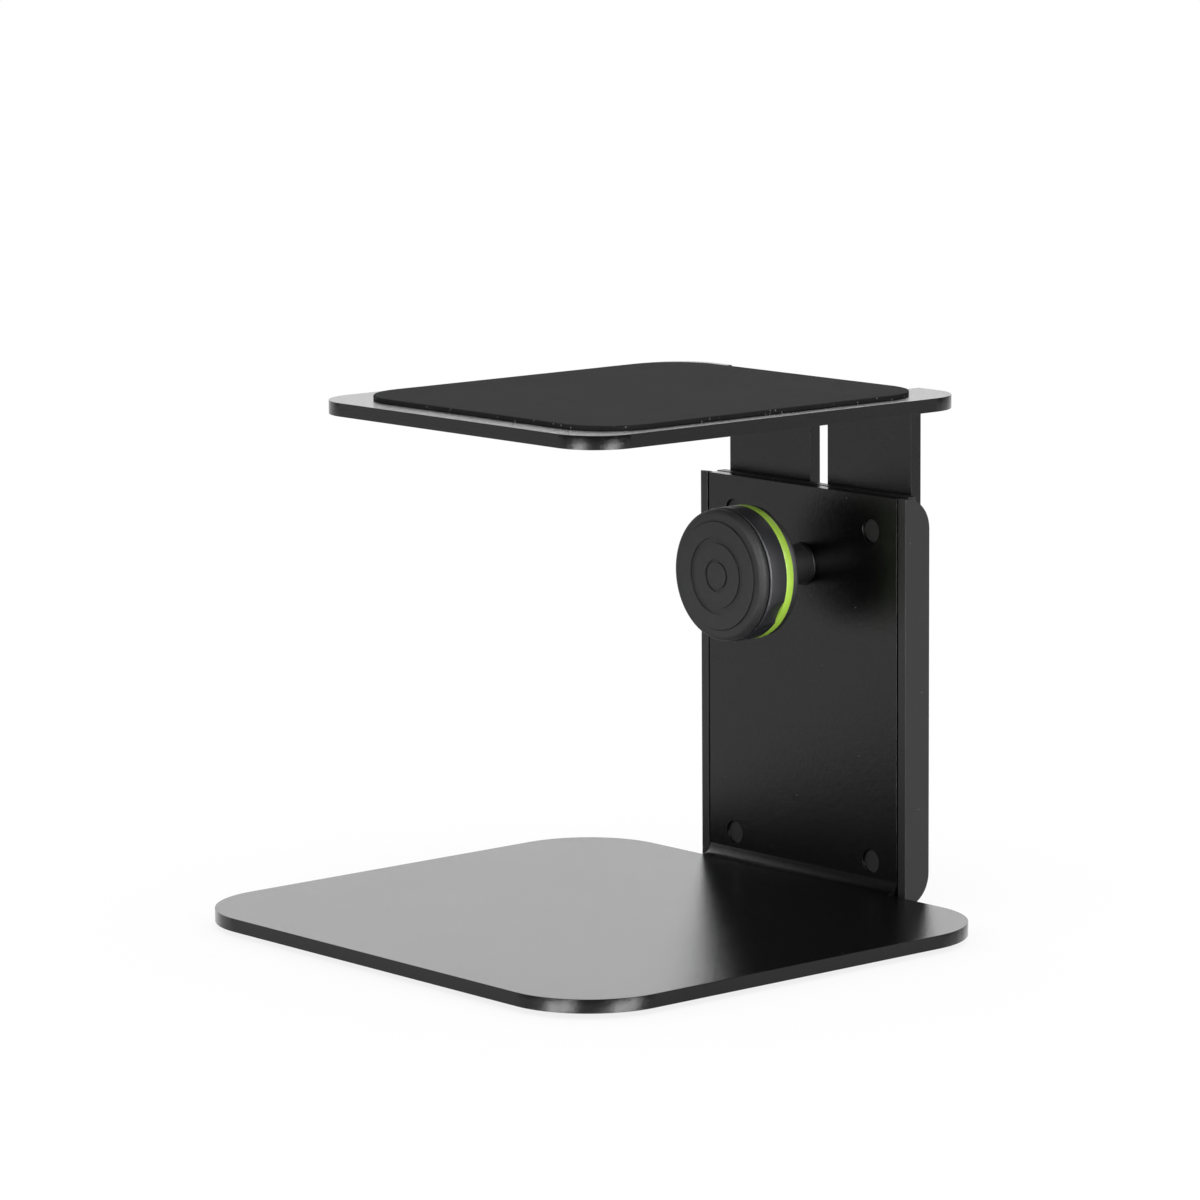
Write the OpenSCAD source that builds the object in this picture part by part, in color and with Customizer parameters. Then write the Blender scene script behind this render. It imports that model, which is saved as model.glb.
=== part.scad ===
// Desktop monitor speaker stand with a height-adjustable platform.
// Millimetres, +Z up. The origin lies on the desk, under the middle of the whole stand.
// -Y is the open front, where the listener sits, and the upright stands at the rear.

/* [Base plate] */
// Width of the base panel
base_w = 230; // [190:1:320]
// Depth of the base panel
base_d = 205.4; // [160:0.2:300]
// Corner radius of the base panel
base_corner_r = 34; // [5:1:45]
// Thickness of the base plate's sheet
base_t = 5; // [4:0.5:8]
// Inner radius of the bend below the face plate
base_bend_r = 4; // [1:0.5:8]
// Width of the face plate, which is bent up from the base panel
face_w = 104; // [80:0.2:140]
// Height of the face plate's top above the underside of the base panel
face_h = 154; // [120:1:220]
// Distance from the rear edge of the base panel to the front of the face plate
face_set = 4.6; // [1:0.2:12]

/* [Feet] */
// Diameter of a foot
foot_d = 22; // [10:1:30]
// Thickness of a foot
foot_t = 2; // [1:0.5:6]
// Distance from the sides of the base panel to the centre of a foot
foot_inset_x = 25; // [16:1:45]
// Distance from the front and rear edges of the base panel to the centre of a foot
foot_inset_y = 25; // [16:1:45]

/* [Guide channel] */
// Thickness of the channel's side flanges
flange_t = 3.9; // [2:0.1:6]
// Thickness of the channel's web, between the face plate and the leg
web_t = 4; // [2:0.5:6]
// Height of the channel
channel_h = 154.2; // [120:0.2:220]
// Gap between the face plate's side edge and the flange beside it
flange_gap = 0.8; // [0.4:0.1:2.5]
// How far the leg's rear face stands behind the flanges' rear edges
leg_proud = 1.9; // [0:0.1:3]
// Radius of the flanges' rear corners
flange_corner_r = 12; // [2:1:12]

/* [Top plate and leg] */
// Width of the top panel
top_w = 159; // [130:1:260]
// Depth of the top panel
top_d = 184; // [140:1:260]
// Corner radius of the top panel
top_corner_r = 18; // [5:1:25]
// Thickness of the top plate's sheet
top_t = 5; // [3:0.5:8]
// Inner radius of the bend between the top panel and the leg
top_bend_r = 4; // [1:0.5:6]
// Height of the top panel's underside above the base panel's underside, as shown
top_height = 189.5; // [175:0.5:225]
// Distance from the front of the leg to the rear edge of the top panel
top_back = 2.4; // [0:0.2:6]
// Gap between the leg's side edge and the flange beside it
leg_side_gap = 2.8; // [0.4:0.1:6]
// Length of the leg below the top panel's underside
leg_l = 151.5; // [130:0.5:160]
// Corner radius at the bottom of the leg
leg_corner_r = 6; // [1:1:15]
// Gap between the leg and the channel's web
leg_gap = 0.2; // [0.1:0.05:0.6]
// Width of the slot in the leg
slot_w = 9.5; // [8.6:0.1:14]
// Distance from the top panel's underside to the upper end of the slot
slot_from_top = 7; // [5:0.5:20]
// Distance from the bottom of the leg to the lower end of the slot
slot_from_bottom = 12; // [6:1:30]
// Width of the relief cuts beside the leg's bend
relief_w = 1.5; // [0.5:0.1:3]
// Length of the relief cuts beyond the start of the bend
relief_l = 2; // [0.5:0.5:5]

/* [Platform pad] */
// Thickness of the pad
pad_t = 1.5; // [1:0.5:5]
// Distance from the pad's side to the top panel's side
pad_inset_x = 8.5; // [2:0.5:20]
// Distance from the pad's front to the top panel's front
pad_inset_front = 12; // [2:0.5:20]
// Distance from the pad's rear to the top panel's rear
pad_inset_rear = 11; // [10:0.5:25]
// Corner radius of the pad
pad_corner_r = 22; // [5:1:35]

/* [Rivets] */
// Distance from the stand's centre plane to a rivet
rivet_x = 38; // [25:1:42]
// Height of the lower rivets above the base panel's underside
rivet_low_z = 15; // [15:0.2:40]
// Height of the upper rivets above the base panel's underside
rivet_high_z = 140.6; // [100:0.2:147]
// Diameter of the stepped seat for a rivet's head in the face plate
rivet_seat_d = 8.8; // [8.4:0.2:10]
// Diameter of a rivet's head
rivet_head_d = 8.6; // [6:0.2:9]
// Thickness of a rivet's head
rivet_head_t = 1.2; // [0.8:0.1:1.4]
// Depth of the head's face below the front of the face plate
rivet_sunk = 1.2; // [0.2:0.1:1.4]
// Diameter of a rivet's shank
rivet_d = 5; // [3:0.5:5.5]
// Diameter of the rivet's closing head
rivet_tail_d = 8; // [6:0.2:9]
// Thickness of the closing head, sunk in the web
rivet_tail_t = 1; // [0.5:0.1:1.5]

/* [Clamp bolt and washers] */
// Diameter of the bolt
bolt_d = 8; // [6:0.5:8.5]
// Height of the bolt above the base panel's underside
bolt_z = 124; // [112:0.5:124.5]
// Radial clearance of the bolt in the face plate and the web
bolt_clear = 0.2; // [0.1:0.05:0.4]
// Depth of the bolt's square neck, which keeps it from turning
neck_l = 5; // [3.5:0.5:6.5]
// Diameter of the bolt's domed head
bolt_head_d = 20; // [14:1:26]
// Height of the bolt's domed head
bolt_head_h = 4.4; // [3:0.2:6]
// Diameter of the wide washer behind the leg
rear_washer_d = 28; // [20:1:40]
// Thickness of the wide washer behind the leg
rear_washer_t = 2.5; // [1:0.5:3]
// Gap between the leg and the wide washer, with the clamp eased
rear_washer_gap = 0.2; // [0.1:0.05:0.5]
// Clearance around the square neck in the wide washer
neck_clear = 0.15; // [0.05:0.05:0.3]
// Diameter of the washer in front of the face plate
front_washer_d = 16.4; // [14:0.2:24]
// Thickness of the washer in front of the face plate
front_washer_t = 1; // [0.6:0.1:2]
// Radial clearance between the bolt's thread and the knob's insert
thread_clear = 0.05; // [0.02:0.01:0.08]

/* [Clamp knob] */
// Diameter of the knob's neck, between the grip and the washer
neck_d = 15.4; // [14:0.2:20]
// Length of the knob's neck
knob_neck_l = 22.9; // [12:0.1:30]
// Diameter of the knob's rear rim
rim_d = 50; // [47:0.5:60]
// Thickness of the knob's rear rim
rim_t = 3.3; // [2:0.1:6]
// Outer diameter of the coloured ring
ring_d = 50.4; // [47:0.2:60]
// Width of the coloured ring
ring_t = 3.5; // [2:0.1:6]
// Inner diameter of the coloured ring
ring_bore_d = 44.8; // [42:0.2:46]
// Diameter of the grip
grip_d = 50.4; // [46:0.2:56]
// Width of the grip
grip_t = 7.8; // [4:0.1:12]
// Inner diameter of the grip
grip_bore_d = 41.2; // [32:0.2:42]
// Clearance between the hub and the ring and grip that fit over it
knob_fit = 0.05; // [0.02:0.01:0.1]
// Number of finger pockets in the grip, which open towards the ring
pocket_count = 2; // [1:1:6]
// Radius of the ball that shapes a finger pocket
pocket_r = 18; // [8:0.5:30]
// Depth of a finger pocket beside the ring
pocket_deep = 1.1; // [0.4:0.1:1.6]
// Diameter of the cap across its rounded rim
cap_d = 49.8; // [44:0.2:54]
// Thickness of the cap
cap_t = 4.7; // [4.5:0.1:9]
// Radius of the cap's rounded rim
cap_round_r = 2.3; // [1:0.1:2.4]
// Distance from the back of the cap to the widest part of its rim
cap_wide_at = 1.8; // [0.5:0.1:2]
// Diameter of the cap's raised face
cap_face_d = 40.6; // [38:0.2:43]
// Outer diameter of the plain round groove in the cap's face
cap_groove_d = 29.2; // [20:0.2:36]
// Width of the plain round groove
cap_groove_w = 2.4; // [0.8:0.1:4]
// Outer diameter of the small groove in the cap's middle
cap_eye_d = 12.4; // [6:0.2:16]
// Width of the small groove
cap_eye_w = 1.2; // [0.5:0.1:2]
// Depth of both grooves
cap_groove_deep = 0.7; // [0.3:0.1:1.5]
// Diameter of the knob's threaded insert
insert_d = 12; // [11:0.2:13]
// Length of the knob's threaded insert
insert_l = 16; // [8:0.5:20]
// Length of thread that reaches into the knob
thread_l = 33; // [20:0.5:34]
// Spare depth of the knob's bore beyond the thread
bore_spare = 1.5; // [0.5:0.5:2]
// Radius of the rear rim's rounded edge
rim_round_r = 1.4; // [0.5:0.1:1.6]
// Radius of the grip's rounded front edge
grip_round_r = 0.5; // [0.3:0.1:3]
// Radius of the fine groove at the foot of the cap's raised face
cap_line_r = 0.35; // [0.2:0.05:0.6]

/* [Hidden] */
$fn = 96;
cut = 1;
// How far a bent strip reaches into its panel, which joins the two
lap = 10;
// The straight part that stays at a flange's end, however large its corners are
flange_flat = 0.2;

// Height of the base panel's underside above the desk
base_z = foot_t;
base_top_z = base_z + base_t;
// How far the upright and its bolt reach behind the base panel's rear edge
layers = base_t + web_t + leg_gap + top_t + rear_washer_gap + rear_washer_t + bolt_head_h;
base_rear_y = (base_d - face_set - layers) / 2;
base_front_y = base_rear_y - base_d;
// Layers of the upright, from front to rear
face_y = base_rear_y + face_set;
web_y = face_y + base_t;
leg_y = web_y + web_t + leg_gap;
leg_rear_y = leg_y + top_t;
rear_washer_y = leg_rear_y + rear_washer_gap;
bolt_head_y = rear_washer_y + rear_washer_t;
knob_y = face_y - front_washer_t;
foot_front_y = base_front_y + foot_inset_y;
foot_rear_y = base_rear_y - foot_inset_y;

// Channel
channel_in_w = face_w + 2 * flange_gap;
channel_w = channel_in_w + 2 * flange_t;
flange_rear_y = leg_rear_y - leg_proud;
channel_d = flange_rear_y - face_y;
flange_r = min(flange_corner_r, channel_d - flange_flat);
leg_w = channel_in_w - 2 * leg_side_gap;

// Top plate
top_z = base_z + top_height;
top_rear_y = leg_y + top_back;
top_front_y = top_rear_y - top_d;
top_bend_y = leg_y - top_bend_r;
leg_bottom_z = top_z - leg_l;
slot_low_z = leg_bottom_z + slot_from_bottom;
slot_high_z = top_z - slot_from_top;
pad_w = top_w - 2 * pad_inset_x;
pad_front_y = top_front_y + pad_inset_front;
pad_rear_y = top_rear_y - pad_inset_rear;

// Clamp
clamp_z = base_z + bolt_z;
bolt_hole_d = bolt_d + 2 * bolt_clear;
bolt_tip_y = knob_y - thread_l;
bolt_dome_r = (pow(bolt_head_d / 2, 2) + pow(bolt_head_h, 2)) / (2 * bolt_head_h);

// Knob, measured from the washer towards the front
ring_at = knob_neck_l + rim_t;
grip_at = ring_at + ring_t;
cap_at = grip_at + grip_t;
knob_bore_l = thread_l + bore_spare;
pocket_at = grip_d / 2 + pocket_r - pocket_deep;
// The first pocket's direction around the knob's axis, seen from the front
pocket_turn = 329;
cap_rim_t = cap_wide_at + cap_round_r;

// A flat panel with round corners, from front_y to rear_y, centred on X
module panel(w, front_y, rear_y, r, t) {
    linear_extrude(height = t) {
        translate([-w / 2 + r, front_y])
            square([w - 2 * r, rear_y - front_y]);
        translate([-w / 2, front_y + r])
            square([w, rear_y - front_y - 2 * r]);
        for (x = [-w / 2 + r, w / 2 - r], y = [front_y + r, rear_y - r])
            translate([x, y])
                circle(r);
    }
}

// Extrudes a profile drawn in Y and Z across the width w, centred on X
module across(w) {
    rotate([90, 0, 90])
        linear_extrude(height = w, center = true)
            children();
}

// A quarter of a bent sheet, as a profile, with its centre of bend at the origin
module bend_profile(r, t) {
    intersection() {
        difference() {
            circle(r + t);
            circle(r);
        }
        square(r + t);
    }
}

// Puts a shape drawn along +Z on the clamp's axis, pointing to the front from y
module on_clamp_axis(y) {
    translate([0, y, clamp_z])
        rotate([90, 0, 0])
            children();
}

// Puts a shape drawn along +Z at each rivet, pointing to the front from y
module at_rivets(y) {
    for (x = [-rivet_x, rivet_x], z = [rivet_low_z, rivet_high_z])
        translate([x, y, base_z + z])
            rotate([90, 0, 0])
                children();
}

// One sheet: the base panel, the bend at its rear and the face plate
module base_plate() {
    color([0.10, 0.10, 0.105])
    difference() {
        union() {
            translate([0, 0, base_z])
                panel(base_w, base_front_y, base_rear_y, base_corner_r, base_t);
            across(face_w) {
                translate([base_rear_y - lap, base_z])
                    square([face_set - base_bend_r + lap, base_t]);
                translate([face_y - base_bend_r, base_top_z + base_bend_r])
                    mirror([0, 1])
                        bend_profile(base_bend_r, base_t);
                translate([face_y, base_top_z + base_bend_r])
                    square([base_t, face_h - base_t - base_bend_r]);
            }
        }
        on_clamp_axis(web_y + cut)
            cylinder(d = bolt_hole_d, h = base_t + 2 * cut);
        at_rivets(web_y + cut)
            cylinder(d = rivet_d, h = base_t + 2 * cut);
        at_rivets(face_y + rivet_sunk + rivet_head_t)
            cylinder(d = rivet_seat_d, h = rivet_sunk + rivet_head_t + cut);
    }
}

// One anti-slip foot, stuck under the base panel on side sx at the depth y
module foot(sx, y) {
    color([0.06, 0.06, 0.06])
        translate([sx * (base_w / 2 - foot_inset_x), y, 0])
            cylinder(d = foot_d, h = foot_t);
}

// H-section: the face plate lies in its front recess and the leg slides in its rear one
module guide_channel() {
    color([0.14, 0.14, 0.145])
    difference() {
        union() {
            translate([-channel_in_w / 2, web_y, base_z])
                cube([channel_in_w, web_t, channel_h]);
            for (side = [-1, 1])
                translate([side * (channel_in_w + flange_t) / 2, 0, 0])
                    across(flange_t)
                        flange_profile();
        }
        on_clamp_axis(leg_y + cut)
            cylinder(d = bolt_hole_d, h = web_t + leg_gap + 2 * cut);
        at_rivets(leg_y + cut)
            cylinder(d = rivet_d, h = web_t + leg_gap + 2 * cut);
        at_rivets(leg_y + cut)
            cylinder(d = rivet_tail_d, h = leg_gap + cut + rivet_tail_t);
    }
}

// Side view of a flange: square in front, with round corners at the rear
module flange_profile() {
    intersection() {
        translate([face_y, base_z])
            square([channel_d, channel_h]);
        union() {
            translate([face_y, base_z])
                square([channel_d - flange_r, channel_h]);
            translate([face_y, base_z + flange_r])
                square([channel_d, channel_h - 2 * flange_r]);
            for (z = [base_z + flange_r, base_z + channel_h - flange_r])
                translate([flange_rear_y - flange_r, z])
                    circle(flange_r);
        }
    }
}

// Four sunken rivets that hold the channel to the face plate
module channel_rivets() {
    head_at = web_t + base_t - rivet_sunk - rivet_head_t;
    color([0.12, 0.12, 0.12])
    at_rivets(web_y + web_t) {
        cylinder(d = rivet_tail_d, h = rivet_tail_t);
        cylinder(d = rivet_d, h = head_at + rivet_head_t);
        translate([0, 0, head_at])
            cylinder(d = rivet_head_d, h = rivet_head_t);
    }
}

// One sheet: the top panel, the bend at its rear and the slotted leg below it
module top_plate() {
    color([0.11, 0.11, 0.115])
    difference() {
        union() {
            difference() {
                translate([0, 0, top_z])
                    panel(top_w, top_front_y, top_rear_y, top_corner_r, top_t);
                translate([-leg_w / 2 - relief_w, top_bend_y - relief_l, top_z - cut])
                    cube([leg_w + 2 * relief_w, relief_l + top_bend_r + top_back + cut, top_t + 2 * cut]);
            }
            across(leg_w) {
                translate([top_bend_y - relief_l - lap, top_z])
                    square([relief_l + lap, top_t]);
                translate([top_bend_y, top_z - top_bend_r])
                    bend_profile(top_bend_r, top_t);
                translate([leg_y, leg_bottom_z])
                    square([top_t, leg_l - top_bend_r]);
            }
        }
        leg_slot();
        leg_corners();
    }
}

// What is cut away around the leg's round lower corners
module leg_corners() {
    r = leg_corner_r;
    translate([0, leg_rear_y + cut, 0])
        rotate([90, 0, 0])
            linear_extrude(height = top_t + 2 * cut)
                for (side = [0, 1])
                    mirror([side, 0])
                        translate([leg_w / 2 - r, leg_bottom_z + r])
                            difference() {
                                translate([0, -r - cut])
                                    square(r + cut);
                                circle(r);
                            }
}

// The slot along the leg's middle, which slides over the clamp bolt
module leg_slot() {
    translate([0, leg_rear_y + cut, 0])
        rotate([90, 0, 0])
            linear_extrude(height = top_t + 2 * cut) {
                translate([-slot_w / 2, slot_low_z + slot_w / 2])
                    square([slot_w, slot_high_z - slot_low_z - slot_w]);
                for (z = [slot_low_z + slot_w / 2, slot_high_z - slot_w / 2])
                    translate([0, z])
                        circle(d = slot_w);
            }
}

// Anti-slip pad on the top panel
module platform_pad() {
    color([0.16, 0.16, 0.165])
        translate([0, 0, top_z + top_t])
            panel(pad_w, pad_front_y, pad_rear_y, pad_corner_r, pad_t);
}

// Bolt with a domed head and a square neck, put in from the rear
module clamp_bolt() {
    color([0.62, 0.63, 0.65])
    union() {
        on_clamp_axis(bolt_head_y)
            cylinder(d = bolt_d, h = bolt_head_y - bolt_tip_y);
        translate([-bolt_d / 2, bolt_head_y - neck_l, clamp_z - bolt_d / 2])
            cube([bolt_d, neck_l, bolt_d]);
        intersection() {
            translate([0, bolt_head_y + bolt_head_h - bolt_dome_r, clamp_z])
                sphere(bolt_dome_r);
            on_clamp_axis(bolt_head_y + bolt_head_h)
                cylinder(d = bolt_head_d, h = bolt_head_h);
        }
    }
}

// Wide washer with a square hole, which spans the slot behind the leg
module rear_washer() {
    hole = bolt_d + 2 * neck_clear;
    color([0.2, 0.2, 0.205])
    difference() {
        on_clamp_axis(bolt_head_y)
            cylinder(d = rear_washer_d, h = rear_washer_t);
        translate([-hole / 2, rear_washer_y - cut, clamp_z - hole / 2])
            cube([hole, rear_washer_t + 2 * cut, hole]);
    }
}

// Washer between the knob and the face plate
module front_washer() {
    color([0.2, 0.2, 0.205])
    on_clamp_axis(face_y)
        difference() {
            cylinder(d = front_washer_d, h = front_washer_t);
            translate([0, 0, -cut])
                cylinder(d = bolt_d + 2 * thread_clear, h = front_washer_t + 2 * cut);
        }
}

// The knob's inner body: neck, rear rim and the seats of the ring and the grip
module knob_hub() {
    color([0.09, 0.09, 0.10])
    on_clamp_axis(knob_y)
        difference() {
            rotate_extrude() {
                square([neck_d / 2, cap_at]);
                translate([0, knob_neck_l])
                    square([rim_d / 2 - rim_round_r, rim_t]);
                translate([0, knob_neck_l + rim_round_r])
                    square([rim_d / 2, rim_t - rim_round_r]);
                translate([rim_d / 2 - rim_round_r, knob_neck_l + rim_round_r])
                    circle(rim_round_r);
                translate([0, ring_at])
                    square([ring_bore_d / 2 - knob_fit, ring_t]);
                translate([0, grip_at])
                    square([grip_bore_d / 2 - knob_fit, grip_t]);
            }
            translate([0, 0, -cut])
                cylinder(d = insert_d, h = insert_l + cut);
            cylinder(d = bolt_hole_d, h = knob_bore_l);
        }
}

// Threaded metal sleeve moulded into the knob's neck
module knob_insert() {
    color([0.72, 0.58, 0.28])
    on_clamp_axis(knob_y)
        difference() {
            cylinder(d = insert_d, h = insert_l);
            translate([0, 0, -cut])
                cylinder(d = bolt_d + 2 * thread_clear, h = insert_l + 2 * cut);
        }
}

// Coloured ring between the rear rim and the grip
module knob_ring() {
    color([0.60, 0.88, 0.15])
    on_clamp_axis(knob_y - ring_at)
        difference() {
            cylinder(d = ring_d, h = ring_t);
            translate([0, 0, -cut])
                cylinder(d = ring_bore_d, h = ring_t + 2 * cut);
        }
}

// The hollows for thumb and finger, which open at the back of the grip
module finger_pockets() {
    for (i = [0 : pocket_count - 1])
        rotate([0, 0, pocket_turn + i * 360 / pocket_count])
            translate([pocket_at, 0, 0])
                sphere(pocket_r);
}

// Hard outer grip with finger pockets and a rounded front edge
module knob_grip() {
    r = grip_round_r;
    color([0.07, 0.07, 0.085])
    on_clamp_axis(knob_y - grip_at)
        difference() {
            rotate_extrude()
                difference() {
                    union() {
                        square([grip_d / 2, grip_t - r]);
                        square([grip_d / 2 - r, grip_t]);
                        translate([grip_d / 2 - r, grip_t - r])
                            circle(r);
                    }
                    square([grip_bore_d / 2, grip_t]);
                }
            finger_pockets();
        }
}

// A ring-shaped groove in the cap's face, as a profile
module groove_profile(d, w) {
    translate([d / 2 - w, cap_t - cap_groove_deep])
        square([w, cap_groove_deep + cut]);
}

// Soft front cap: a rounded rim and a raised face with plain round grooves
module knob_cap() {
    color([0.22, 0.22, 0.22])
    on_clamp_axis(knob_y - cap_at)
        rotate_extrude()
            difference() {
                union() {
                    square([cap_face_d / 2, cap_t]);
                    square([cap_d / 2 - cap_round_r, cap_rim_t]);
                    intersection() {
                        square([cap_d / 2, cap_rim_t]);
                        translate([cap_d / 2 - cap_round_r, cap_wide_at])
                            circle(cap_round_r);
                    }
                }
                translate([cap_face_d / 2, cap_rim_t])
                    circle(cap_line_r);
                groove_profile(cap_groove_d, cap_groove_w);
                groove_profile(cap_eye_d, cap_eye_w);
            }
}

base_plate();
foot(-1, foot_front_y);  // foot_front_left
foot(1, foot_front_y);  // foot_front_right
foot(-1, foot_rear_y);  // foot_rear_left
foot(1, foot_rear_y);  // foot_rear_right
guide_channel();
channel_rivets();
top_plate();
platform_pad();
clamp_bolt();
rear_washer();
front_washer();
knob_hub();
knob_insert();
knob_ring();
knob_grip();
knob_cap();
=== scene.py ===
"""Finishes, soft pieces and studio for the desktop speaker stand, around its fixed CAD frame."""

import math

import bmesh
import bpy
from bpy.props import FloatProperty, FloatVectorProperty, IntProperty, PointerProperty
from mathutils import Matrix, Vector


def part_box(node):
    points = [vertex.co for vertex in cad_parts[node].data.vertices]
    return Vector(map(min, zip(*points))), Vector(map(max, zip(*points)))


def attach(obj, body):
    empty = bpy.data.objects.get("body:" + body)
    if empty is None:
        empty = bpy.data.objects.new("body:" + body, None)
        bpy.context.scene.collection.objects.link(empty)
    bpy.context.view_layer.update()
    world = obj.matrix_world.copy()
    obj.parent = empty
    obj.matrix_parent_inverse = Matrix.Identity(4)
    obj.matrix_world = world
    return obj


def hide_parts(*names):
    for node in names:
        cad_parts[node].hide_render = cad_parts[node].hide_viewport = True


bl_info = {
    "name": "Desktop speaker stand",
    "version": (1, 0, 0),
    "blender": (4, 5, 0),
    "location": "View3D > Sidebar > Stand",
    "description": "Dresses the packed speaker stand and lights it in a pale studio",
    "category": "Object",
}

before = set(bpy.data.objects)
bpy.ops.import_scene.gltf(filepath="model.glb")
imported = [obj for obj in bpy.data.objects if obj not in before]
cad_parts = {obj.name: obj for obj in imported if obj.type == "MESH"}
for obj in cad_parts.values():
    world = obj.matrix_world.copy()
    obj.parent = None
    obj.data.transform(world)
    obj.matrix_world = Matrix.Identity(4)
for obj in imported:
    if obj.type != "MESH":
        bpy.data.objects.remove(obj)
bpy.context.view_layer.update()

MM = 0.001

# The photograph's camera, worked out from the edges of the plates
CAMERA_PLACE = (1.50845, -1.30744, 0.43951)
CAMERA_YAW = 0.85904
CAMERA_PITCH = 0.1575
CAMERA_ROLL = -0.00721
CAMERA_LENS_MM = 165.147
CAMERA_REACH = 20.0
SENSOR_MM = 36.0

# Pieces that share the black coat and have deburred sheet edges
SHEET_NODES = ("base_plate", "top_plate")

# How a CAD piece's sharp edges are found and rounded
WELD_REACH = 0.002 * MM
SHARP_FROM_DEGREES = 35
EDGE_SEGMENTS = 3


def colour(name, description, default):
    """A colour setting."""
    return FloatVectorProperty(
        name=name, description=description, default=default, subtype="COLOR", size=3, min=0.0, max=1.0
    )


def length(name, description, millimetres):
    """A length setting, given in millimetres."""
    return FloatProperty(
        name=name,
        description=description,
        default=millimetres * MM,
        min=0.0,
        subtype="DISTANCE",
        unit="LENGTH",
    )


def factor(name, description, default):
    """A setting from 0 to 1."""
    return FloatProperty(
        name=name, description=description, default=default, min=0.0, max=1.0, subtype="FACTOR"
    )


def brightness(name, description, default):
    """A setting for how bright a lamp or a surface looks, where 1 is white."""
    return FloatProperty(name=name, description=description, default=default, min=0.0)


class StandFinish(bpy.types.PropertyGroup):
    """Colours and gloss of the stand's pieces."""

    coat: colour("Coat", "Black powder coat of the plates", (0.0018, 0.0018, 0.0020))
    coat_roughness: factor("Coat roughness", "Blur of the coat's reflections", 0.10)
    channel: colour("Channel", "Coating of the guide channel", (0.004, 0.004, 0.0043))
    channel_roughness: factor("Channel roughness", "Blur of the channel's reflections", 0.4)
    rivet: colour("Rivets", "Dull black of the rivets' heads", (0.009, 0.009, 0.009))
    foam: colour("Pad", "Foam rubber of the platform pad", (0.0125, 0.0125, 0.013))
    foot: colour("Feet", "Rubber of the feet", (0.012, 0.012, 0.012))
    cap: colour("Cap", "Soft front of the knob", (0.014, 0.014, 0.0145))
    grip: colour("Grip", "Hard grip of the knob", (0.010, 0.010, 0.015))
    hub: colour("Hub", "Rear rim and neck of the knob", (0.009, 0.009, 0.010))
    ring: colour("Ring", "Coloured ring of the knob", (0.55, 0.96, 0.09))
    zinc: colour("Zinc", "Plated steel of the bolt", (0.36, 0.37, 0.39))
    brass: colour("Brass", "Threaded sleeve in the knob", (0.60, 0.43, 0.17))


class StandDetail(bpy.types.PropertyGroup):
    """Sizes of the detail that is added to the CAD pieces."""

    sheet_edge: length("Sheet edge", "Rounding of the deburred sheet edges", 0.5)
    channel_edge: length("Channel edge", "Rounding of the channel's edges", 0.4)
    small_edge: length("Small edge", "Rounding of small metal and plastic edges", 0.2)
    pad_edge: length("Pad edge", "Rounding of the pad's upper edge", 0.3)
    pad_wave: length("Pad waviness", "Unevenness of the pad's cut edge", 0.12)
    foot_edge: length("Foot edge", "Rounding of the feet's edges", 0.5)
    foot_groove: length("Foot groove", "Depth of the ring grooves under a foot", 0.3)
    ring_segments: IntProperty(
        name="Ring segments", description="Facets around a turned piece", default=96, min=24, max=256
    )


class StandStudio(bpy.types.PropertyGroup):
    """Floor, surroundings and lamps."""

    floor: colour("Floor", "Colour of the floor", (0.80, 0.80, 0.80))
    floor_lift: factor("Floor lift", "Share of plain white in the floor as the camera sees it", 0.84)
    mirror_lift: factor("Mirrored lift", "Share of plain white in the floor as reflections see it", 0.37)
    left_share: factor("Left share", "Share of the mirrored lift that the floor on the left keeps", 0.80)
    surround: brightness("Surround", "Brightness of the surroundings on the object", 1.1)
    above: brightness("Lamp above", "Brightness of the wide lamp over the stand", 0.7)
    behind: brightness("Lamp behind", "Brightness of the wide lamp behind the stand", 0.8)
    glow: brightness("Glow", "Brightness of the studio's far side in reflections", 0.85)
    dusk: brightness("Dusk", "Brightness of the studio's front and ceiling in reflections", 0.15)
    strips: brightness("Strip lamps", "Brightness of the two tall lamps in front, in reflections", 27.0)
    floor_gloss: factor("Floor gloss", "Share of the lamps' images in the floor as reflections see it", 0.4)


class Signal:
    """The output of a shader node, which can be used in sums like a number."""

    def __init__(self, graph, socket):
        self.graph = graph
        self.socket = socket

    def _math(self, operation, *values):
        inputs = dict(enumerate(values))
        return self.graph.value("ShaderNodeMath", 0, {"operation": operation}, inputs)

    def __add__(self, other):
        return self._math("ADD", self, other)

    __radd__ = __add__

    def __sub__(self, other):
        return self._math("SUBTRACT", self, other)

    def __rsub__(self, other):
        return self._math("SUBTRACT", other, self)

    def __mul__(self, other):
        return self._math("MULTIPLY", self, other)

    __rmul__ = __mul__

    def above(self, edge, width):
        """0 below the edge, 1 above it, blended over the width."""
        settings = {"interpolation_type": "SMOOTHSTEP"}
        inputs = {"Value": self, "From Min": edge - width / 2, "From Max": edge + width / 2}
        return self.graph.value("ShaderNodeMapRange", "Result", settings, inputs)

    def below(self, edge, width):
        """1 below the edge, 0 above it, blended over the width."""
        return 1 - self.above(edge, width)


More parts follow.
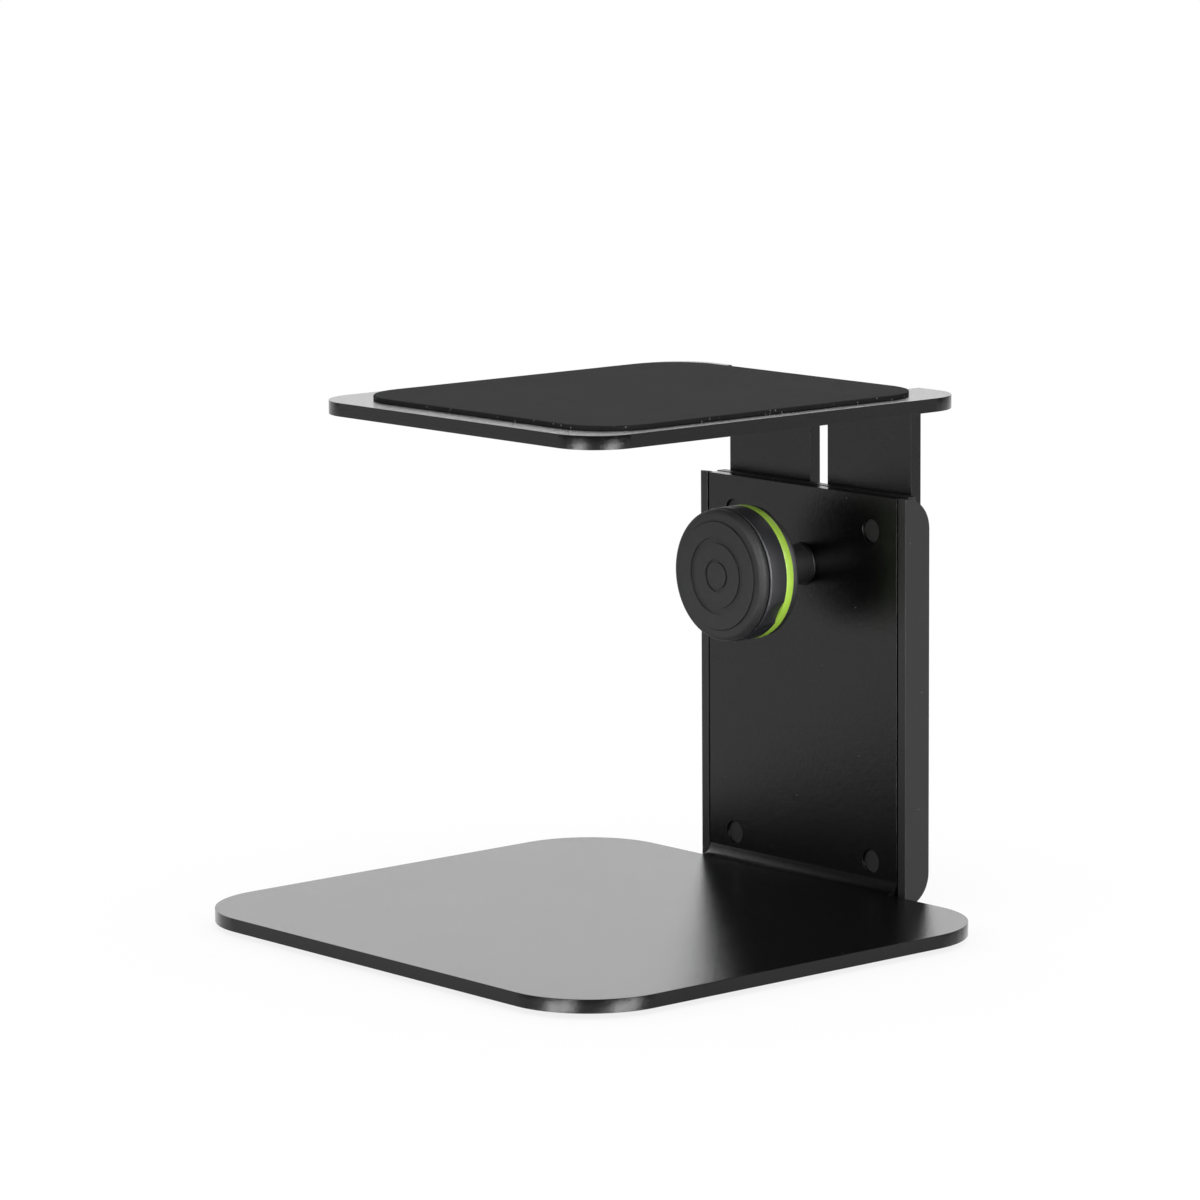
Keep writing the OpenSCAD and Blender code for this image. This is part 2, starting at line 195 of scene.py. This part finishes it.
class Graph:
    """A node tree that is built from nothing."""

    def __init__(self, tree):
        self.tree = tree
        self.tree.nodes.clear()

    def node(self, kind, settings=None, inputs=None):
        """A node of that kind, with its settings made first and then its sockets' values or links."""
        made = self.tree.nodes.new(kind)
        for key, value in (settings or {}).items():
            setattr(made, key, value)
        for key, value in (inputs or {}).items():
            self.feed(made.inputs[key], value)
        return made

    def value(self, kind, output, settings=None, inputs=None):
        """One output of a new node, as a signal."""
        return Signal(self, self.node(kind, settings, inputs).outputs[output])

    def feed(self, socket, value):
        """Links a signal or a socket to the socket, or sets its value."""
        if isinstance(value, Signal):
            value = value.socket
        if isinstance(value, bpy.types.NodeSocket):
            self.tree.links.new(value, socket)
        else:
            socket.default_value = value

    def reflected(self):
        """1 on light that reflections or clear pieces show, 0 elsewhere."""
        rays = self.node("ShaderNodeLightPath")
        return Signal(self, rays.outputs["Is Glossy Ray"]) + Signal(self, rays.outputs["Is Transmission Ray"])

    def place(self):
        """The point on the surface, in metres in the CAD frame."""
        return self.value("ShaderNodeTexCoord", "Object")

    def stretched(self, place, scale):
        """The point with its axes scaled."""
        return self.value("ShaderNodeVectorMath", "Vector", {"operation": "MULTIPLY"}, {0: place, 1: scale})

    def noise(self, place, size_mm, detail=2.0, roughness=0.5):
        """Smooth noise from 0 to 1, with features of about that size."""
        inputs = {"Vector": place, "Scale": 1 / (size_mm * MM), "Detail": detail, "Roughness": roughness}
        return self.value("ShaderNodeTexNoise", 0, inputs=inputs)

    def cells(self, place, size_mm):
        """Distance to the nearest of points scattered about that far apart, in units of that size."""
        inputs = {"Vector": place, "Scale": 1 / (size_mm * MM)}
        return self.value("ShaderNodeTexVoronoi", "Distance", inputs=inputs)

    def blend(self, amount, low, high):
        """A colour between low, at 0, and high, at 1."""
        colours = [(*c, 1.0) if isinstance(c, (tuple, list)) and len(c) == 3 else c for c in (low, high)]
        inputs = {0: amount, 6: colours[0], 7: colours[1]}
        return self.value("ShaderNodeMix", 2, {"data_type": "RGBA"}, inputs)

    def bump(self, height, depth_mm, strength=1.0):
        """A normal from a height of 0 to 1 that stands for that depth."""
        inputs = {"Strength": strength, "Distance": depth_mm * MM, "Height": height}
        return self.value("ShaderNodeBump", "Normal", inputs=inputs)


class Finish(Graph):
    """A material's node tree, with one Principled shader at its end."""

    def __init__(self, name, **fixed):
        self.material = bpy.data.materials.new(name)
        self.material.use_nodes = True
        super().__init__(self.material.node_tree)
        self.shader = self.node("ShaderNodeBsdfPrincipled")
        surface = {"Surface": self.shader.outputs["BSDF"]}
        self.output = self.node("ShaderNodeOutputMaterial", inputs=surface)
        self.shade(**fixed)

    def shade(self, **values):
        """Sets or links sockets of the Principled shader; Base_Color stands for Base Color."""
        for key, value in values.items():
            if isinstance(value, (tuple, list)) and len(value) == 3:
                value = (*value, 1.0)
            self.feed(self.shader.inputs[key.replace("_", " ")], value)


def shaded(tint, share):
    """The colour made lighter, or darker below 1."""
    return tuple(min(1.0, part * share) for part in tint)


def powder_coat(name, tint, roughness):
    """Satin black powder coat: fine orange peel, faint clouds, a few dust specks and hairlines."""
    graph = Finish(name, IOR=1.5)
    place = graph.place()
    clouds = graph.noise(place, 42, detail=3)
    peel = graph.noise(place, 1.2, detail=1)
    grain = graph.noise(place, 0.16, detail=1)
    dust = graph.cells(place, 9).below(0.022, 0.012)
    hairs = graph.noise(graph.stretched(place, (1.0, 0.04, 1.0)), 0.5, detail=2).above(0.78, 0.05)
    worn = graph.noise(place, 14, detail=4).above(0.6, 0.2) * hairs
    tinted = graph.blend(clouds, shaded(tint, 0.8), shaded(tint, 1.3))
    tinted = graph.blend(worn * 0.25, tinted, shaded(tint, 4))
    tinted = graph.blend(dust * 0.6, tinted, (0.16, 0.16, 0.155))
    graph.shade(
        Base_Color=tinted,
        Roughness=roughness + (clouds - 0.5) * 0.06 + (grain - 0.5) * 0.05 + dust * 0.3,
        Normal=graph.bump(peel * 0.5 + grain * 0.5, 0.08),
    )
    return graph.material


def extruded_coat(name, tint, roughness):
    """Coated extrusion: very fine lines along its length under a satin coat."""
    graph = Finish(name, IOR=1.5)
    place = graph.place()
    clouds = graph.noise(place, 30, detail=3)
    lines = graph.noise(graph.stretched(place, (1.0, 1.0, 0.015)), 0.3, detail=2)
    grain = graph.noise(place, 0.3, detail=1)
    dust = graph.cells(place, 7).below(0.03, 0.016)
    tinted = graph.blend(clouds, shaded(tint, 0.8), shaded(tint, 1.25))
    tinted = graph.blend(dust * 0.7, tinted, (0.2, 0.2, 0.195))
    graph.shade(
        Base_Color=tinted,
        Roughness=roughness + (lines - 0.5) * 0.08 + dust * 0.3,
        Normal=graph.bump(lines * 0.6 + grain * 0.4, 0.004),
    )
    return graph.material


def foam_rubber(name, tint):
    """Closed-cell foam rubber: a dark, dull skin with fine pores, and pale specks in its cut sides."""
    graph = Finish(name, IOR=1.4, Specular_IOR_Level=0.1)
    place = graph.place()
    clouds = graph.noise(place, 26, detail=3)
    pores = graph.cells(place, 0.9)
    grain = graph.noise(place, 0.45, detail=3, roughness=0.7)
    flecks = graph.noise(place, 0.8, detail=1).above(0.7, 0.06)
    level = graph.value("ShaderNodeSeparateXYZ", 2, inputs={0: graph.value("ShaderNodeTexCoord", "Normal")})
    sides = level.below(0.5, 0.4)
    specks = graph.cells(place, 1.9).below(0.13, 0.08) * sides
    tinted = graph.blend(clouds * 0.5 + grain * 0.5, shaded(tint, 0.6), shaded(tint, 1.4))
    tinted = graph.blend(flecks * 0.4, tinted, shaded(tint, 3.2))
    tinted = graph.blend(specks * 0.8, tinted, (0.30, 0.30, 0.29))
    graph.shade(
        Base_Color=tinted,
        Roughness=0.82 + (grain - 0.5) * 0.2,
        Normal=graph.bump(pores * 0.5 + grain * 0.7, 0.12),
    )
    return graph.material


def dull_black(name, tint):
    """Dull black skin of the rivets' heads, a little scuffed."""
    graph = Finish(name, IOR=1.45)
    place = graph.place()
    clouds = graph.noise(place, 3, detail=3)
    scuffs = graph.noise(graph.stretched(place, (1.0, 1.0, 0.2)), 0.5, detail=2).above(0.66, 0.1)
    grain = graph.noise(place, 0.3, detail=2)
    tinted = graph.blend(clouds, shaded(tint, 0.8), shaded(tint, 1.3))
    graph.shade(
        Base_Color=graph.blend(scuffs * 0.4, tinted, shaded(tint, 4)),
        Roughness=0.42 + (clouds - 0.5) * 0.1 + (grain - 0.5) * 0.08,
        Normal=graph.bump(clouds * 0.6 + grain * 0.4, 0.02),
    )
    return graph.material


def moulded_rubber(name, tint, roughness):
    """Solid rubber with a dull moulded skin."""
    graph = Finish(name, IOR=1.5)
    place = graph.place()
    clouds = graph.noise(place, 9, detail=3)
    grain = graph.noise(place, 0.25, detail=2)
    graph.shade(
        Base_Color=graph.blend(clouds, shaded(tint, 0.8), shaded(tint, 1.3)),
        Roughness=roughness + (clouds - 0.5) * 0.12,
        Normal=graph.bump(grain, 0.02),
    )
    return graph.material


def soft_touch(name, tint):
    """Soft-touch cap: a velvety dark grey skin, polished a little where fingers rub it."""
    graph = Finish(name, IOR=1.5, Specular_IOR_Level=0.3, Sheen_Weight=0.1, Sheen_Roughness=0.4)
    place = graph.place()
    clouds = graph.noise(place, 12, detail=4)
    grain = graph.noise(place, 0.22, detail=2)
    lint = graph.noise(graph.stretched(place, (1.0, 1.0, 0.12)), 0.6, detail=1).above(0.8, 0.04)
    rubbed = graph.noise(place, 5, detail=3).above(0.58, 0.16)
    tinted = graph.blend(clouds, shaded(tint, 0.85), shaded(tint, 1.2))
    tinted = graph.blend(lint * 0.25, tinted, (0.14, 0.14, 0.135))
    graph.shade(
        Base_Color=tinted,
        Roughness=0.68 + (grain - 0.5) * 0.12 - rubbed * 0.08,
        Normal=graph.bump(grain, 0.012),
    )
    return graph.material


def hard_plastic(name, tint, roughness):
    """Moulded hard plastic with faint flow marks and hairline scratches."""
    graph = Finish(name, IOR=1.52)
    place = graph.place()
    flow = graph.noise(place, 8, detail=3)
    ripple = graph.noise(place, 3.5, detail=2)
    scratches = graph.noise(graph.stretched(place, (0.06, 1.0, 1.0)), 0.35, detail=1).above(0.76, 0.06)
    tinted = graph.blend(flow, shaded(tint, 0.85), shaded(tint, 1.2))
    graph.shade(
        Base_Color=tinted,
        Roughness=roughness + (flow - 0.5) * 0.08 + scratches * 0.12,
        Normal=graph.bump(ripple * 0.7 + scratches * 0.3, 0.03),
    )
    return graph.material


def plated_steel(name, tint, roughness):
    """Plated steel with fine turning marks."""
    graph = Finish(name, Metallic=1.0)
    place = graph.place()
    clouds = graph.noise(place, 3, detail=3)
    turning = graph.noise(graph.stretched(place, (1.0, 0.1, 1.0)), 0.18, detail=1)
    graph.shade(
        Base_Color=graph.blend(clouds, shaded(tint, 0.8), shaded(tint, 1.1)),
        Roughness=roughness + (turning - 0.5) * 0.16,
        Normal=graph.bump(turning, 0.004),
    )
    return graph.material


def dress(node, material, edge):
    """Gives a CAD node its material and rounds its sharp edges, without touching its mesh."""
    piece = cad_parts[node]
    for slot in piece.material_slots:
        slot.material = material
    if not piece.material_slots:
        raise RuntimeError(f"{node} has no material slot")
    weld = piece.modifiers.new("weld", "WELD")
    weld.merge_threshold = WELD_REACH
    bevel = piece.modifiers.new("deburred edges", "BEVEL")
    bevel.width = edge
    bevel.segments = EDGE_SEGMENTS
    bevel.limit_method = "ANGLE"
    bevel.angle_limit = math.radians(SHARP_FROM_DEGREES)
    bevel.harden_normals = True


def new_piece(name, mesh, material, body):
    """Links a new mesh object, smooth shaded, with its material and body."""
    piece = bpy.data.objects.new(name, mesh)
    bpy.context.scene.collection.objects.link(piece)
    mesh.materials.append(material)
    for face in mesh.polygons:
        face.use_smooth = True
    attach(piece, body)
    return piece


def round_panel(low, high, radius, inset, steps, side_steps):
    """Points around a rectangle with round corners, inset from its edge."""
    radius = radius - inset
    centres = (
        (high.x - inset - radius, high.y - inset - radius, 0.0),
        (low.x + inset + radius, high.y - inset - radius, 0.25),
        (low.x + inset + radius, low.y + inset + radius, 0.5),
        (high.x - inset - radius, low.y + inset + radius, 0.75),
    )
    points = []
    for x, y, start in centres:
        for i in range(steps + 1):
            angle = 2 * math.pi * (start + 0.25 * i / steps)
            points.append(Vector((x + radius * math.cos(angle), y + radius * math.sin(angle))))
    spread = []
    for here, after in zip(points, points[1:] + points[:1]):
        count = side_steps if (after - here).length > 4 * radius / steps else 1
        spread += [here.lerp(after, i / count) for i in range(count)]
    return spread


def rings_to_mesh(name, rings):
    """A closed mesh through rings of equally many points, with its first and last ring filled."""
    shape = bmesh.new()
    made = [[shape.verts.new(point) for point in ring] for ring in rings]
    for lower, upper in zip(made, made[1:]):
        count = len(lower)
        for i in range(count):
            after = (i + 1) % count
            shape.faces.new((lower[i], lower[after], upper[after], upper[i]))
    shape.faces.new(list(reversed(made[0])))
    shape.faces.new(made[-1])
    bmesh.ops.recalc_face_normals(shape, faces=shape.faces)
    mesh = bpy.data.meshes.new(name)
    shape.to_mesh(mesh)
    shape.free()
    return mesh


class STAND_OT_camera(bpy.types.Operator):
    """Sets the camera where the photograph was taken from"""

    bl_idname = "stand.camera"
    bl_label = "Photograph camera"

    def execute(self, context):
        sin, cos = math.sin, math.cos
        ahead = Vector(
            (
                -sin(CAMERA_YAW) * cos(CAMERA_PITCH),
                cos(CAMERA_YAW) * cos(CAMERA_PITCH),
                -sin(CAMERA_PITCH),
            )
        )
        level = Vector((cos(CAMERA_YAW), sin(CAMERA_YAW), 0.0))
        upright = level.cross(ahead)
        right = cos(CAMERA_ROLL) * level + sin(CAMERA_ROLL) * upright
        up = cos(CAMERA_ROLL) * upright - sin(CAMERA_ROLL) * level
        turn = Matrix((right, up, -ahead)).transposed().to_4x4()
        camera = bpy.data.cameras.new("photo_camera")
        camera.sensor_width = SENSOR_MM
        camera.lens = CAMERA_LENS_MM
        camera.clip_end = CAMERA_REACH
        holder = bpy.data.objects.new("photo_camera", camera)
        context.scene.collection.objects.link(holder)
        holder.matrix_world = Matrix.Translation(CAMERA_PLACE) @ turn
        context.scene.camera = holder
        return {"FINISHED"}


class STAND_OT_plates(bpy.types.Operator):
    """Coats the two bent sheets, the guide channel and the rivets"""

    bl_idname = "stand.plates"
    bl_label = "Plates and channel"

    def execute(self, context):
        finish = context.scene.stand_finish
        detail = context.scene.stand_detail
        coat = powder_coat("powder_coat", finish.coat, finish.coat_roughness)
        for node in SHEET_NODES:
            dress(node, coat, detail.sheet_edge)
        channel = extruded_coat("channel_coat", finish.channel, finish.channel_roughness)
        dress("guide_channel", channel, detail.channel_edge)
        dress("channel_rivets", dull_black("rivet_black", finish.rivet), detail.small_edge)
        return {"FINISHED"}


class STAND_OT_pad(bpy.types.Operator):
    """Lays the foam-rubber pad on the platform"""

    bl_idname = "stand.pad"
    bl_label = "Platform pad"

    # The corner radius of the pad's solid
    CORNER_RADIUS = 22 * MM
    CORNER_STEPS = 20
    SIDE_STEPS = 40
    EDGE_STEPS = 4
    # Keeps the upright side's shading flat up to its edges
    EDGE_HOLD = 0.05 * MM
    # How far inside its edge the pad's flat top has further rings of points
    INSETS_MM = (3.0, 8.0, 14.0, 20.0)
    # Two waves around the pad's edge, in radians per point, and how far they shift from ring to ring
    WAVES = (0.71, 0.173)
    WAVE_SHIFT = 0.2

    def execute(self, context):
        finish = context.scene.stand_finish
        detail = context.scene.stand_detail
        low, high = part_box("platform_pad")
        edge = detail.pad_edge

        def ring(inset, z):
            points = round_panel(low, high, self.CORNER_RADIUS, inset, self.CORNER_STEPS, self.SIDE_STEPS)
            return [Vector((p.x, p.y, z)) for p in points]

        hold = self.EDGE_HOLD
        rings = [ring(0.0, z) for z in (low.z, low.z + hold, high.z - edge - hold, high.z - edge)]
        for i in range(1, self.EDGE_STEPS + 1):
            angle = 0.5 * math.pi * i / self.EDGE_STEPS
            rings.append(ring(edge * (1 - math.cos(angle)), high.z - edge * (1 - math.sin(angle))))
        rings += [ring(inset * MM, high.z) for inset in self.INSETS_MM]
        short, long = self.WAVES
        middle_y = (low.y + high.y) / 2
        for number, points in enumerate(rings):
            for i, point in enumerate(points):
                wave = math.sin(short * i + number * self.WAVE_SHIFT) * math.sin(long * i)
                inward = Vector((-point.x, -(point.y - middle_y), 0.0)).normalized()
                point += inward * detail.pad_wave * (1 + wave) / 2
        mesh = rings_to_mesh("platform_pad_foam", rings)
        foam = foam_rubber("foam_rubber", finish.foam)
        pad = new_piece("platform_pad_foam", mesh, foam, "platform")
        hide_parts("platform_pad")
        return {"FINISHED"}


class STAND_OT_feet(bpy.types.Operator):
    """Makes the four rubber feet under the base panel"""

    bl_idname = "stand.feet"
    bl_label = "Feet"

    NODES = ("foot_front_left", "foot_front_right", "foot_rear_left", "foot_rear_right")
    ROUGHNESS = 0.6
    # The underside's hollow and ring groove, and the width of their slopes, as shares of the foot's radius
    HOLLOW = 0.30
    GROOVE = (0.62, 0.78)
    SLOPE = 0.04
    # How far the round edge's middle lies from side and underside, as a share of its radius
    EDGE_MIDDLE = 0.3

    def execute(self, context):
        finish = context.scene.stand_finish
        detail = context.scene.stand_detail
        rubber = moulded_rubber("foot_rubber", finish.foot, self.ROUGHNESS)
        inner, outer = self.GROOVE
        turn = [2 * math.pi * i / detail.ring_segments for i in range(detail.ring_segments)]
        for node in self.NODES:
            low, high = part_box(node)
            middle = (low + high) / 2
            radius = (high.x - low.x) / 2
            edge = detail.foot_edge
            edge_middle = edge * self.EDGE_MIDDLE
            deep = low.z + detail.foot_groove
            profile = [
                (radius * self.HOLLOW, deep),
                (radius * (self.HOLLOW + self.SLOPE), low.z),
                (radius * inner, low.z),
                (radius * (inner + self.SLOPE), deep),
                (radius * (outer - self.SLOPE), deep),
                (radius * outer, low.z),
                (radius - edge, low.z),
                (radius - edge_middle, low.z + edge_middle),
                (radius, low.z + edge),
                (radius, high.z),
            ]
            rings = [
                [
                    Vector((middle.x + reach * math.cos(angle), middle.y + reach * math.sin(angle), z))
                    for angle in turn
                ]
                for reach, z in profile
            ]
            mesh = rings_to_mesh(node + "_rubber", rings)
            foot = new_piece(node + "_rubber", mesh, rubber, "stand")
            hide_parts(node)
        return {"FINISHED"}


class STAND_OT_clamp(bpy.types.Operator):
    """Finishes the clamp bolt, its washers and the knob's threaded sleeve"""

    bl_idname = "stand.clamp"
    bl_label = "Clamp bolt and washers"

    ZINC_ROUGHNESS = 0.3
    OXIDE_ROUGHNESS = 0.3
    BRASS_ROUGHNESS = 0.32

    def execute(self, context):
        finish = context.scene.stand_finish
        edge = context.scene.stand_detail.small_edge
        zinc = plated_steel("plated_steel", finish.zinc, self.ZINC_ROUGHNESS)
        dress("clamp_bolt", zinc, edge)
        # Black oxide has the smooth, faintly scratched look of the knob's plastic
        oxide = hard_plastic("black_oxide", finish.hub, self.OXIDE_ROUGHNESS)
        for node in ("front_washer", "rear_washer"):
            dress(node, oxide, edge)
        dress("knob_insert", plated_steel("turned_brass", finish.brass, self.BRASS_ROUGHNESS), edge)
        return {"FINISHED"}


class STAND_OT_knob(bpy.types.Operator):
    """Finishes the clamp knob's hub, ring, grip and cap"""

    bl_idname = "stand.knob"
    bl_label = "Clamp knob"

    HUB_ROUGHNESS = 0.5
    RING_ROUGHNESS = 0.35
    GRIP_ROUGHNESS = 0.48

    def execute(self, context):
        finish = context.scene.stand_finish
        edge = context.scene.stand_detail.small_edge
        dress("knob_hub", hard_plastic("hub_plastic", finish.hub, self.HUB_ROUGHNESS), edge)
        dress("knob_ring", hard_plastic("ring_plastic", finish.ring, self.RING_ROUGHNESS), edge)
        dress("knob_grip", hard_plastic("grip_plastic", finish.grip, self.GRIP_ROUGHNESS), edge)
        dress("knob_cap", soft_touch("cap_skin", finish.cap), edge)
        return {"FINISHED"}


class STAND_OT_stage(bpy.types.Operator):
    """Makes the pale floor, the bright surroundings and the soft lamps"""

    bl_idname = "stand.stage"
    bl_label = "Studio"

    FLOOR_HALF = 20.0
    FLOOR_ROUGHNESS = 0.9
    FLOOR_GLOSS_ROUGHNESS = 0.12
    # The distance at which the floor turns plain white to the camera, and the width of that change
    FADE = (1.2, 1.6)
    # Directions from the stand, in degrees from its front towards its right
    STRIP_DIRECTIONS = (12.0, 88.0)
    BEHIND_DIRECTION = 229.0
    RIGHT_DIRECTION = 131.0
    # Where the floor changes from left to right, as a distance from the stand, and how widely
    ACROSS = (0.0, 0.6)
    # How far a ray points behind the stand, or up, where the surroundings turn pale, or dusky, and how widely
    PALE_BEHIND = (0.5, 0.5)
    DUSKY_ABOVE = (0.6, 0.5)
    ABOVE_PLACE = (0.8, 0.1, 2.2)
    ABOVE_SIZE = (2.4, 2.4)
    BEHIND_DISTANCE = 2.6
    BEHIND_HEIGHT = 1.35
    BEHIND_SIZE = (4.0, 2.0)
    STRIP_DISTANCE = 2.2
    STRIP_SIZE = (1.0, 1.5)
    STRIP_CLEARANCE = 0.02

    def execute(self, context):
        studio = context.scene.stand_studio
        scene = context.scene
        scene.view_settings.view_transform = "Standard"
        self.make_floor(scene, studio)
        self.make_world(scene, studio)
        self.make_lamps(scene, studio)
        return {"FINISHED"}

    def make_floor(self, scene, studio):
        half = self.FLOOR_HALF
        corners = [(-half, -half, 0), (half, -half, 0), (half, half, 0), (-half, half, 0)]
        mesh = bpy.data.meshes.new("studio_floor")
        mesh.from_pydata(corners, [], [(0, 1, 2, 3)])
        floor = bpy.data.objects.new("studio_floor", mesh)
        scene.collection.objects.link(floor)
        plain = {"Base_Color": tuple(studio.floor), "Roughness": self.FLOOR_ROUGHNESS}
        graph = Finish("studio_floor", Specular_IOR_Level=0.0, **plain)
        camera = graph.value("ShaderNodeLightPath", "Is Camera Ray")
        white = graph.node("ShaderNodeEmission", inputs={"Color": (1.0, 1.0, 1.0, 1.0)})
        gloss = graph.node("ShaderNodeBsdfGlossy", inputs={"Roughness": self.FLOOR_GLOSS_ROUGHNESS})
        place = graph.place()
        apart = graph.value("ShaderNodeVectorMath", "Value", {"operation": "LENGTH"}, {0: place})
        lift = apart.above(*self.FADE) * (1 - studio.floor_lift) + studio.floor_lift
        right = self.along(graph, place, self.towards(self.RIGHT_DIRECTION, 1.0)).above(*self.ACROSS)
        mirrored = (right * (1 - studio.left_share) + studio.left_share) * studio.mirror_lift
        share = camera * lift + graph.reflected() * mirrored
        lit = {0: share, 1: graph.shader.outputs[0], 2: white.outputs[0]}
        mixed = graph.node("ShaderNodeMixShader", inputs=lit)
        shine = {0: graph.reflected() * studio.floor_gloss, 1: mixed.outputs[0], 2: gloss.outputs[0]}
        topped = graph.node("ShaderNodeMixShader", inputs=shine)
        graph.feed(graph.output.inputs["Surface"], topped.outputs[0])
        mesh.materials.append(graph.material)

    def make_world(self, scene, studio):
        """White to the camera, and in reflections pale behind the stand and dusky in front and above."""
        world = bpy.data.worlds.new("studio")
        world.use_nodes = True
        graph = Graph(world.node_tree)
        ray = graph.value("ShaderNodeTexCoord", "Generated")
        behind = self.along(graph, ray, self.towards(self.BEHIND_DIRECTION, 1.0)).above(*self.PALE_BEHIND)
        low = self.along(graph, ray, Vector((0, 0, 1))).below(*self.DUSKY_ABOVE)
        pale = behind * low * (studio.glow - studio.dusk) + studio.dusk
        plain, mirrored = (
            graph.node("ShaderNodeBackground", inputs={"Color": tone, "Strength": strength})
            for tone, strength in (
                ((1.0, 1.0, 1.0, 1.0), studio.surround),
                (graph.value("ShaderNodeCombineColor", 0, inputs={0: pale, 1: pale, 2: pale}), 1.0),
            )
        )
        white = graph.node("ShaderNodeBackground", inputs={"Color": (1.0, 1.0, 1.0, 1.0), "Strength": 1.0})
        lit = {0: graph.reflected(), 1: plain.outputs[0], 2: mirrored.outputs[0]}
        around = graph.node("ShaderNodeMixShader", inputs=lit)
        camera = graph.value("ShaderNodeLightPath", "Is Camera Ray")
        seen = {0: camera, 1: around.outputs[0], 2: white.outputs[0]}
        mixed = graph.node("ShaderNodeMixShader", inputs=seen)
        graph.node("ShaderNodeOutputWorld", inputs={"Surface": mixed.outputs[0]})
        scene.world = world

    @staticmethod
    def along(graph, ray, direction):
        """How far the ray or the place lies in that direction, which has a length of 1."""
        product = {"operation": "DOT_PRODUCT"}
        return graph.value("ShaderNodeVectorMath", "Value", product, {0: ray, 1: direction})

    def make_lamps(self, scene, studio):
        self.soft_box(scene, "lamp_above", Vector(self.ABOVE_PLACE), self.ABOVE_SIZE, studio.above)
        behind = self.towards(self.BEHIND_DIRECTION, self.BEHIND_DISTANCE)
        behind.z = self.BEHIND_HEIGHT
        self.soft_box(scene, "lamp_behind", behind, self.BEHIND_SIZE, studio.behind)
        sheets = self.kept_off(SHEET_NODES)
        for number, direction in enumerate(self.STRIP_DIRECTIONS):
            place = self.towards(direction, self.STRIP_DISTANCE)
            place.z = self.STRIP_SIZE[1] / 2 + self.STRIP_CLEARANCE
            strip = self.soft_box(scene, f"strip_{number}", place, self.STRIP_SIZE, studio.strips)
            strip.visible_diffuse = False
            strip.light_linking.receiver_collection = sheets

    @staticmethod
    def kept_off(nodes):
        """A collection that keeps a lamp's light and reflection off those CAD nodes, when linked to it."""
        group = bpy.data.collections.new("kept_off")
        for node in nodes:
            group.objects.link(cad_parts[node])
        for member in group.collection_objects:
            member.light_linking.link_state = "EXCLUDE"
        return group

    @staticmethod
    def towards(degrees, distance):
        """The point on the floor in that direction and at that distance from the stand."""
        angle = math.radians(degrees)
        return Vector((math.sin(angle), -math.cos(angle), 0.0)) * distance

    @staticmethod
    def soft_box(scene, name, place, size, shine):
        """A rectangular lamp that faces the stand and looks that bright, hidden from the camera."""
        width, height = size
        light = bpy.data.lights.new(name, "AREA")
        light.shape = "RECTANGLE"
        light.size = width
        light.size_y = height
        light.energy = shine * math.pi * width * height
        lamp = bpy.data.objects.new(name, light)
        scene.collection.objects.link(lamp)
        lamp.location = place
        lamp.rotation_euler = place.to_track_quat("Z", "Y").to_euler()
        lamp.visible_camera = False
        return lamp


class STAND_PT_panel(bpy.types.Panel):
    """Lists the stand's steps and settings"""

    bl_idname = "STAND_PT_panel"
    bl_label = "Speaker stand"
    bl_space_type = "VIEW_3D"
    bl_region_type = "UI"
    bl_category = "Stand"

    def draw(self, context):
        for step in STEPS:
            self.layout.operator(step.bl_idname)
        for group in (context.scene.stand_finish, context.scene.stand_detail, context.scene.stand_studio):
            box = self.layout.box()
            for name in group.__annotations__:
                box.prop(group, name)


GROUPS = (StandFinish, StandDetail, StandStudio)
STEPS = (
    STAND_OT_camera,
    STAND_OT_plates,
    STAND_OT_pad,
    STAND_OT_feet,
    STAND_OT_clamp,
    STAND_OT_knob,
    STAND_OT_stage,
)


def register():
    for kind in (*GROUPS, *STEPS, STAND_PT_panel):
        bpy.utils.register_class(kind)
    bpy.types.Scene.stand_finish = PointerProperty(type=StandFinish)
    bpy.types.Scene.stand_detail = PointerProperty(type=StandDetail)
    bpy.types.Scene.stand_studio = PointerProperty(type=StandStudio)


def unregister():
    for name in ("stand_finish", "stand_detail", "stand_studio"):
        delattr(bpy.types.Scene, name)
    for kind in reversed((*GROUPS, *STEPS, STAND_PT_panel)):
        bpy.utils.unregister_class(kind)


def main():
    register()
    bpy.ops.stand.camera()
    bpy.ops.stand.plates()
    bpy.ops.stand.pad()
    bpy.ops.stand.feet()
    bpy.ops.stand.clamp()
    bpy.ops.stand.knob()
    bpy.ops.stand.stage()


if __name__ == "__main__":
    main()
